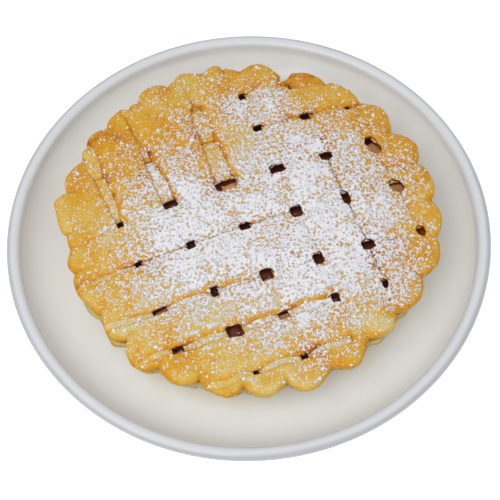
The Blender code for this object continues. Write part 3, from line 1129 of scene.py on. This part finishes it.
@dataclass
class Lattice:
    """Fifteen strips of dough, each a closed slab bent over the dome."""

    weave: Weave
    dusting: Dusting
    material: bpy.types.Material
    spacing: float = 0.00062
    raw: float = 0.42
    brown: float = 0.60
    held_back: float = 0.70
    baked_under: float = 0.90

    def build(self) -> None:
        """Build every strip of both families."""
        for strip in self.weave.strips():
            self.slab(strip)

    def slab(self, strip: Strip) -> None:
        """Build one strip as a closed slab of two skins and a wall between their borders.

        Args:
            strip: the strip.
        """
        u, v = (strip.outer_grid if strip.outer else strip.inner_grid)(self.spacing)
        x0, y0 = strip.family.plan(u, v)
        skin = strip.surface(x0.ravel(), y0.ravel())
        upper, lower = (np.stack([skin.x, skin.y, z], axis=1) for z in (skin.top, skin.under))
        points = np.concatenate([upper, lower])
        count = u.size
        top = grid_quads(*u.shape)
        under = grid_quads(*u.shape, start=count)[:, ::-1]
        number = np.arange(count).reshape(u.shape)
        border = np.concatenate([number[0, :], number[1:, -1], number[-1, -2::-1], number[-2:0:-1, 0]])
        following = np.roll(border, -1)
        wall = np.stack([border, following, following + count, border + count], axis=1)
        quads = np.concatenate([top, under, wall])
        a, b, c = (points[top[:, k]] for k in range(3))
        if np.cross(b - a, c - a)[:, 2].sum() < 0.0:
            quads = quads[:, ::-1]
        up = steepness(upper.reshape(*u.shape, 3))
        below = self.baked_under + 1.3 * skin.near - 0.43 * smooth(1.0 - skin.inside / 0.010)
        values = {"bake": np.concatenate([self.browning(strip.family, skin), below]),
                  "dust": np.concatenate([self.sugar(skin, up), np.full(count, NO_SUGAR)])}
        name = f"{strip.family.letter}{strip.index + 1}"
        piece = make_piece("pastry_" + name, points, quads, self.material, values)
        settle(piece, "lattice_pastry", "strip_" + name)

    def browning(self, family: Family, skin: Skin) -> Array:
        """How far the dough is browned: more to the left and right, at the rim and on lumps.

        Broad lumps, plus smooth steps towards each side, plus bells at the rim, painted shade in its
        valleys and a bell at the strip's edges, less most of what is over brown, plus what lies under
        sugar, less beneath.

        Args:
            family: the strip's family.
            skin: the strip's surface.

        Returns:
            The browning at each point, about 0 for raw and 1 for burnt.
        """
        x, y, inside, beneath = skin.x, skin.y, skin.inside, 1.0 - skin.level
        valley = (1.0 - self.weave.rim.lobes(skin.angle)[0]) ** 2
        bake = self.raw + layered(x, y, (0.19, 0.022, 81), (0.16, 0.009, 82))
        bake += 0.18 * smooth((-x - 0.020) / 0.055) * smooth((y + 0.020) / 0.05)
        bake += 0.14 * smooth((x - 0.040) / 0.035) * smooth((y + 0.040) / 0.030)
        bake -= 0.07 * smooth((-y - 0.030) / 0.03)
        bake += 0.20 * bell(inside - 0.0045, 0.0045) * lumps(x, y, 0.007, 83)
        bake += 0.22 * bell(inside, 0.0012) * (0.6 + 0.6 * lumps(x, y, 0.005, 84))
        # The valley term darkens the dough in the rim's valleys near the rim: painted shade.
        bake += 0.20 * valley * smooth(1.0 - inside / 0.008) + 0.12 * bell(skin.side - 0.0008, 0.0009)
        bake -= self.held_back * np.maximum(bake - self.brown, 0.0)
        bake += 0.45 * beneath * bell(skin.angle - 1.2, 0.14) + 0.20 * self.dusting.cover(x, y) ** 2
        bake += 0.16 * skin.bare * skin.level + 0.35 * skin.near * bell(skin.side, 0.0004)
        pale = 0.22 if family.order == 0 else 0.05
        return bake - (0.12 + pale * smooth(1.0 - inside / 0.022)) * beneath

    def sugar(self, skin: Skin, up: Array) -> Array:
        """Sugar's noise threshold: the cover, less on steep places and on rounded sides.

        Args:
            skin: the strip's surface.
            up: upward part of its normal.

        Returns:
            The threshold at each point.
        """
        share = self.dusting.cover(skin.x, skin.y)
        share += 0.13 * (1.0 - skin.level) * smooth(skin.inside / 0.012)
        share = 1.0 - (1.0 - share) / (1.0 - np.minimum(self.dusting.grains(share), 0.62 * share))
        slides = 0.25 + 0.75 * np.maximum(skin.loose, smooth(1.0 - skin.inside / 0.006))
        slides *= 1.0 - 0.9 * skin.near
        share *= (1.0 - slides * (1.0 - smooth((up - 0.62) / 0.24))) * (1.0 - 0.9 * skin.bare)
        return self.dusting.threshold(np.minimum(share, 0.84 + 0.16 * skin.level))


@dataclass
class BottomCrust:
    """The fluted bottom crust: a turned shell whose outside carries the rim's lobes."""

    weave: Weave
    material: bpy.types.Material
    base: float = 0.0053
    base_radius: float = 0.063
    knee: tuple = (0.0805, 0.0185)
    inner_radius: float = 0.076
    inner_base_radius: float = 0.059
    floor: float = 0.0095
    steps: int = 520
    set_back: float = 0.0019
    lip_sunk: float = 0.0062
    lip_radii: tuple = (0.0012, 0.0015)
    baked_inside: float = 0.74

    # Folds of the lower layer that stand out below the rim: (angle in degrees, reach, half width)
    FOLDS = ((209.5, 0.0022, 4.0), (222.8, 0.0028, 3.4), (238.4, 0.0010, 2.6), (252.8, 0.0022, 2.8),
             (266.8, 0.0014, 2.6), (312.0, 0.0026, 2.4), (323.4, 0.0024, 2.6))

    def outline(self, angle: Array) -> Array:
        """Radius of the lower layer: the rim's outline set back, with bell-shaped folds.

        Args:
            angle: angles round the pie.

        Returns:
            The radius at each angle.
        """
        radius = self.weave.rim.outline(angle) - self.set_back
        for place, reach, half_width in self.FOLDS:
            radius = radius + reach * bell(away_from(angle, math.radians(place)), math.radians(half_width))
        return radius

    def profile(self) -> Array:
        """The crust's profile, from the floor's middle over the lip to the base's middle.

        Returns:
            A row of radius, height and share of the lobes for each point.
        """
        rim_radius = self.weave.rim.radius
        rim_top = self.weave.rim_top - self.lip_sunk
        inner_base = (self.inner_base_radius, self.floor)
        inner_top = (self.inner_radius, rim_top + 0.0018)
        lip = (rim_radius - 0.0012, rim_top - 0.0014)
        low = (self.base_radius + 0.0012, self.base + 0.0004)
        runs = (
            ([(0.0, self.floor), (0.03, self.floor), inner_base], 0.0),
            (stretch(inner_base, inner_top, 6), 0.0),
            (stretch(inner_top, (lip[0], rim_top + 0.0002), 5), 0.6),
            (arc(lip, self.lip_radii, 80.0, -70.0, 9), 1.0),
            (stretch((rim_radius - 0.0010, rim_top - 0.0030), self.knee, 6), 1.0),
            (stretch(self.knee, low, 16) + [(self.base_radius, self.base)], 1.0),
            ([(self.base_radius - 0.002, self.base)], 0.6),
            ([(0.03, self.base), (0.0, self.base)], 0.0),
        )
        return np.array([(*point, share) for run, share in runs for point in run])

    def build(self) -> None:
        """Turn the profile and let its outside follow the lobes, with small lumps and browning."""
        flat_radius, height, share = (column[:, None] for column in self.profile().T)
        angle = around(self.steps)
        rim_radius = self.weave.rim.radius
        reach = share * (flat_radius / rim_radius) ** 1.6
        radius = flat_radius * (1.0 + (self.outline(angle) / rim_radius - 1.0) * reach)
        radius = radius + np.where(share > 0.9, 0.00025 * lumps(angle * 0.08, height, 0.004, 91), 0.0)
        bake = 0.12 + layered(angle * 0.085, height, (0.16, 0.010, 92), (0.12, 0.004, 93))
        bake = bake + 0.12 * smooth((0.0195 - height) / 0.004)
        seen_in_holes = (flat_radius < 0.0808) * (share < 0.9) * (height > self.base + 0.001)
        bake = bake + self.baked_inside * seen_in_holes
        values = {"bake": bake, "dust": np.full(radius.shape, NO_SUGAR)}
        piece = turned_piece("pastry_bottom", radius, height, angle, self.material, values)
        settle(piece, "bottom_crust", "crust")


@dataclass
class Filling:
    """Dark cooked filling with pieces of fruit that show through the holes."""

    weave: Weave
    material: bpy.types.Material
    radius: float = 0.0757
    base_radius: float = 0.0585
    floor: float = 0.0098
    below: float = 0.0082
    fruit_rise: float = 0.0012
    shown_rise: float = 0.0014
    rings: int = 90
    steps: int = 420

    # Holes at which a piece of fruit shows: (A seam, B seam), shift and half sizes in millimetres,
    # and turn in degrees
    SHOWN = (
        ((2, 2), (2.2, 0.4), (4.2, 2.6), 20), ((2, 5), (1.4, -0.8), (4.0, 5.2), 35),
        ((3, 5), (1.0, 0.6), (4.0, 4.0), 10), ((4, 5), (0.6, -0.2), (3.6, 3.6), -20),
        ((4, 0), (0.6, 0.2), (4.4, 3.0), 30), ((5, 2), (0.4, 0.0), (4.0, 3.0), 15),
        ((4, 2), (1.6, -1.4), (3.0, 2.2), 0), ((2, 1), (1.0, -1.4), (3.6, 1.8), 12),
        ((5, 0), (0.0, 0.0), (3.0, 2.0), 20), ((2, 4), (-1.6, -0.6), (2.4, 1.8), 40),
    )

    def shown(self, x: Array, y: Array) -> Array:
        """1 on the pieces of fruit under the holes: the highest of soft turned boxes.

        Args:
            x, y: plan places.

        Returns:
            The share at each place.
        """
        share = np.zeros_like(x)
        for key, shift, half, turn in self.SHOWN:
            cx, cy = self.weave.crossings[key][2:]
            p, q = turned(x - cx - MM * shift[0], y - cy - MM * shift[1], -math.radians(turn))
            box = ((p / (MM * half[0])) ** 6 + (q / (MM * half[1])) ** 6) ** (1.0 / 6.0)
            share = np.maximum(share, smooth((1.12 - box) / 0.24))
        return share

    def fruit(self, x: Array, y: Array) -> Array:
        """1 on pieces of fruit and 0 on sauce: the shown pieces, and random lumps elsewhere."""
        return np.maximum(0.30 * smooth((lumps(x, y, 0.0085, 61) - 0.45) / 0.2), self.shown(x, y))

    def top(self, x: Array, y: Array) -> Array:
        """Height of the filling: the dome, lower by below, with lumps and raised fruit."""
        height = self.weave.dome(x, y) - self.below + 0.0004 * lumps(x, y, 0.005, 62)
        return height + self.fruit_rise * self.fruit(x, y) + self.shown_rise * self.shown(x, y)

    def build(self) -> None:
        """Build the filling as a closed body: the rings of its top, its low edge and its middle."""
        angle = around(self.steps)
        radius = self.radius * np.linspace(0.0, 1.0, self.rings)[:, None]
        x, y = radius * np.cos(angle), radius * np.sin(angle)
        low = np.zeros((2, self.steps))
        values = {"fruit": np.concatenate([self.fruit(x, y), low])}
        piece = turned_piece("fruit_filling", np.concatenate([radius, [[self.base_radius], [0.0]]]),
                             np.concatenate([self.top(x, y), low + self.floor]), angle, self.material, values)
        settle(piece, "fruit_filling", "filling")


@dataclass
class Dish:
    """The turned dish: flat well, upright rounded wall, lip bead and foot ring."""

    material: bpy.types.Material
    radius: float = 0.10998
    height: float = 0.02145
    floor: float = 0.0050
    wall_start: float = 0.0820
    lip_size: tuple = (0.0030, 0.0023)
    thickness: float = 0.0034
    foot_outer: float = 0.0680
    foot_inner: float = 0.0645
    foot_height: float = 0.0016
    steps: int = 256

    def build(self) -> None:
        """Turn the profile from the middle of the well over the lip to the middle underneath."""
        foot = self.foot_height
        lip = (self.radius - self.lip_size[0], self.height - self.lip_size[1])
        across = lip[0] - self.lip_size[0] - self.wall_start
        outside_top = lip[1] - self.lip_size[1]
        outside = (across + 0.6 * self.thickness, outside_top - foot)
        ring = ((0.0012, foot), (0.0006, foot - 0.0002), (0.0001, 0.0004), (-0.0002, 0.00008), (-0.0006, 0.0))
        profile = [(0.02 * step, self.floor) for step in range(4)]
        profile += arc((self.wall_start, lip[1]), (across, lip[1] - self.floor), -90.0, -10.0, 40)
        profile += arc(lip, self.lip_size, 172.0, -36.0, 34)
        profile += arc((self.wall_start, outside_top), outside, -10.0, -90.0, 28)
        profile += [(self.foot_outer + away, z) for away, z in ring]
        profile += [(self.foot_inner - away, z) for away, z in reversed(ring)]
        table = np.array(profile + [(0.04, foot), (0.0, foot)])
        angle = around(self.steps)
        piece = turned_piece("glazed_dish", table[:, :1], table[:, 1:], angle, self.material)
        settle(piece, "glazed_dish", "dish")


# An icosahedron's corners: one and the golden ratio, with both signs, on each pair of axes in turn
GOLDEN = (1.0 + math.sqrt(5.0)) / 2.0
SIGNS = ((-1, 1), (1, 1), (-1, -1), (1, -1))
CORNERS = np.array([np.roll((i, j * GOLDEN, 0.0), axis) for axis in range(3) for i, j in SIGNS])
CORNERS /= math.hypot(1.0, GOLDEN)


class GrainKind(Enum):
    """Kinds of loose sugar, by the middle of their radius in metres."""

    POWDER = 0.00021
    GRAIN = 0.00034
    CLUMP = 0.00048


@dataclass
class LooseSugar:
    """Loose grains of powdered sugar on the lattice, each a small irregular solid."""

    weave: Weave
    dusting: Dusting
    filling: Filling
    material: bpy.types.Material
    each: int = 9900
    tries: int = 90000
    seed: int = 11
    highest: float = 0.0384
    flatness: float = 0.62
    size_spread: float = 0.28

    # Faces of the icosahedron of CORNERS
    FACES = np.array([(0, 11, 5), (0, 5, 1), (0, 1, 7), (0, 7, 10), (0, 10, 11), (1, 5, 9), (5, 11, 4),
                      (11, 10, 2), (10, 7, 6), (7, 1, 8), (3, 9, 4), (3, 4, 2), (3, 2, 6), (3, 6, 8),
                      (3, 8, 9), (4, 9, 5), (2, 4, 11), (6, 2, 10), (8, 6, 7), (9, 8, 1)])

    def build(self) -> None:
        """Scatter each kind of grain."""
        for number, kind in enumerate(GrainKind):
            self.scatter(kind, np.random.default_rng(self.seed + number))

    def places(self, kind: GrainKind, rng: np.random.Generator) -> tuple[Array, Array, Array]:
        """Random places on the lattice, so dense that each kind makes a third of the grains' cover.

        Args:
            kind: which kind of grain.
            rng: the kind's random generator.

        Returns:
            x, y and z of the places, at most as many as one piece may hold.
        """
        widest = self.weave.rim.radius * 1.03
        reach = widest * np.sqrt(rng.uniform(0.0, 1.0, self.tries))
        x, y = turned(reach, 0.0, rng.uniform(0.0, TURN, self.tries))
        wanted = self.dusting.grains(self.dusting.cover(x, y)) / 3.0 / (math.pi * kind.value ** 2)
        clump = 2.0 * smooth(0.5 + 0.8 * lumps(x, y, 0.0016, int(rng.integers(1000))))
        keep = rng.uniform(0.0, 1.0, self.tries) < wanted * clump * math.pi * widest ** 2 / self.tries
        x, y = x[keep], y[keep]
        z, side, inside = self.weave.visible_top(x, y)
        hole = z < 0.0
        drawn = rng.uniform(0.0, 1.0, len(x))
        fair = (0.15 + 0.85 * smooth(side / 0.0012)) * (0.25 + 0.75 * smooth(inside / 0.003))
        z = np.where(hole, self.filling.top(x, y), z)
        good = drawn < np.where(hole, 0.25, fair)
        good &= np.hypot(x, y) < self.weave.rim.outline(np.arctan2(y, x)) - 0.0006
        return tuple(place[good][:self.each] for place in (x, y, z))

    def scatter(self, kind: GrainKind, rng: np.random.Generator) -> None:
        """Make one piece of thousands of grains: icosahedra with uneven corners, stretched and turned.

        Args:
            kind: which kind of grain.
            rng: its random generator.
        """
        x, y, z = (place[:, None] for place in self.places(kind, rng))
        count = len(x)
        size = kind.value * np.exp(rng.normal(0.0, self.size_spread, count))[:, None]
        scale = size * rng.uniform(0.7, 1.35, (count, 3)) * np.array([1.0, 1.0, self.flatness])
        turn = rng.uniform(0.0, TURN, count)[:, None]
        corners = CORNERS[None, :, :] * rng.uniform(0.78, 1.22, (count, 12, 1)) * scale[:, None, :]
        px, py = turned(corners[:, :, 0], corners[:, :, 1], turn)
        pz = np.minimum(corners[:, :, 2] + (z + 0.12 * size), self.highest)
        points = np.stack([px + x, py + y, pz], axis=2).reshape(-1, 3)
        faces = (self.FACES[None, :, :] + 12 * np.arange(count)[:, None, None]).reshape(-1, 3)
        piece = make_piece("sugar_" + kind.name.lower(), points, faces, self.material)
        settle(piece, "lattice_pastry")


# Camera and studio


@dataclass(frozen=True)
class PhotoCamera:
    """The camera, at the angle of view that the dish's outline gives."""

    elevation: float = math.radians(61.5)
    roll: float = math.radians(-2.47)
    distance: float = 0.65
    target: tuple = (0.0005, -0.0106, 0.0215)
    lens: float = 103.86
    sensor: float = 36.0

    def build(self) -> None:
        """Place the camera at its distance from the target, and tip its frame by the roll."""
        back = Vector((0.0, -math.cos(self.elevation), math.sin(self.elevation)))
        right = Vector((1.0, 0.0, 0.0))
        up = back.cross(right)
        tipped_right = math.cos(self.roll) * right + math.sin(self.roll) * up
        tipped_up = math.cos(self.roll) * up - math.sin(self.roll) * right
        data = bpy.data.cameras.new("camera")
        data.lens = self.lens
        data.sensor_width = self.sensor
        data.clip_start = 0.01
        camera = bpy.data.objects.new("camera", data)
        turn = Matrix((tipped_right, tipped_up, back)).transposed()
        camera.matrix_world = Matrix.Translation(Vector(self.target) + back * self.distance) @ turn.to_4x4()
        bpy.context.scene.collection.objects.link(camera)
        bpy.context.scene.camera = camera


@dataclass(frozen=True)
class Studio:
    """Soft window light from the front left, a weak fill, an even sky and a pale floor."""

    sky: float = 0.60
    floor_half: float = 2.5
    floor_sunk: float = 0.0002

    # The lamps: (name, place, power in watts, width, colour)
    LAMPS = (("key", (-0.52, -0.50, 1.15), 7.6, 1.0, (1.0, 0.99, 0.97)),
             ("fill", (0.45, -0.60, 1.4), 4.2, 1.6, (0.97, 0.98, 1.0)))

    def build(self) -> None:
        """Hang the square lamps so that they point at the dish, and set the sky and the floor."""
        for name, place, power, size, colour in self.LAMPS:
            data = bpy.data.lights.new(name, 'AREA')
            data.energy, data.size, data.color = power, size, colour
            lamp = bpy.data.objects.new(name, data)
            lamp.location = place
            lamp.rotation_euler = (-Vector(place)).to_track_quat('-Z', 'Y').to_euler()
            bpy.context.scene.collection.objects.link(lamp)
        world = bpy.data.worlds.new("studio")
        world.use_nodes = True
        backdrop = world.node_tree.nodes["Background"]
        backdrop.inputs["Color"].default_value = (0.98, 0.99, 1.0, 1.0)
        backdrop.inputs["Strength"].default_value = self.sky
        bpy.context.scene.world = world
        bpy.context.scene.view_settings.view_transform = 'Standard'
        signs = ((-1, -1), (1, -1), (1, 1), (-1, 1))
        corners = [(self.floor_half * i, self.floor_half * j, -self.floor_sunk) for i, j in signs]
        floor = make_piece("floor", np.array(corners), np.array([(0, 1, 2, 3)]), PaleFloor().material())


def main() -> None:
    """Build the pie, its dish and the studio, in order."""
    logging.basicConfig(level=logging.INFO, format="%(name)s: %(message)s")
    PhotoCamera().build()
    Studio().build()
    effects = SharedEffects()
    weave = Weave()
    dusting = Dusting()
    pastry = DustedPastry("dusted pastry", effects).material()
    Dish(WhiteGlaze().material()).build()
    BottomCrust(weave, DustedPastry("bottom crust pastry", effects).material()).build()
    filling = Filling(weave, CookedFruit().material())
    filling.build()
    Lattice(weave, dusting, pastry).build()
    LooseSugar(weave, dusting, filling, SugarGrain().material()).build()


if __name__ == "__main__":
    main()
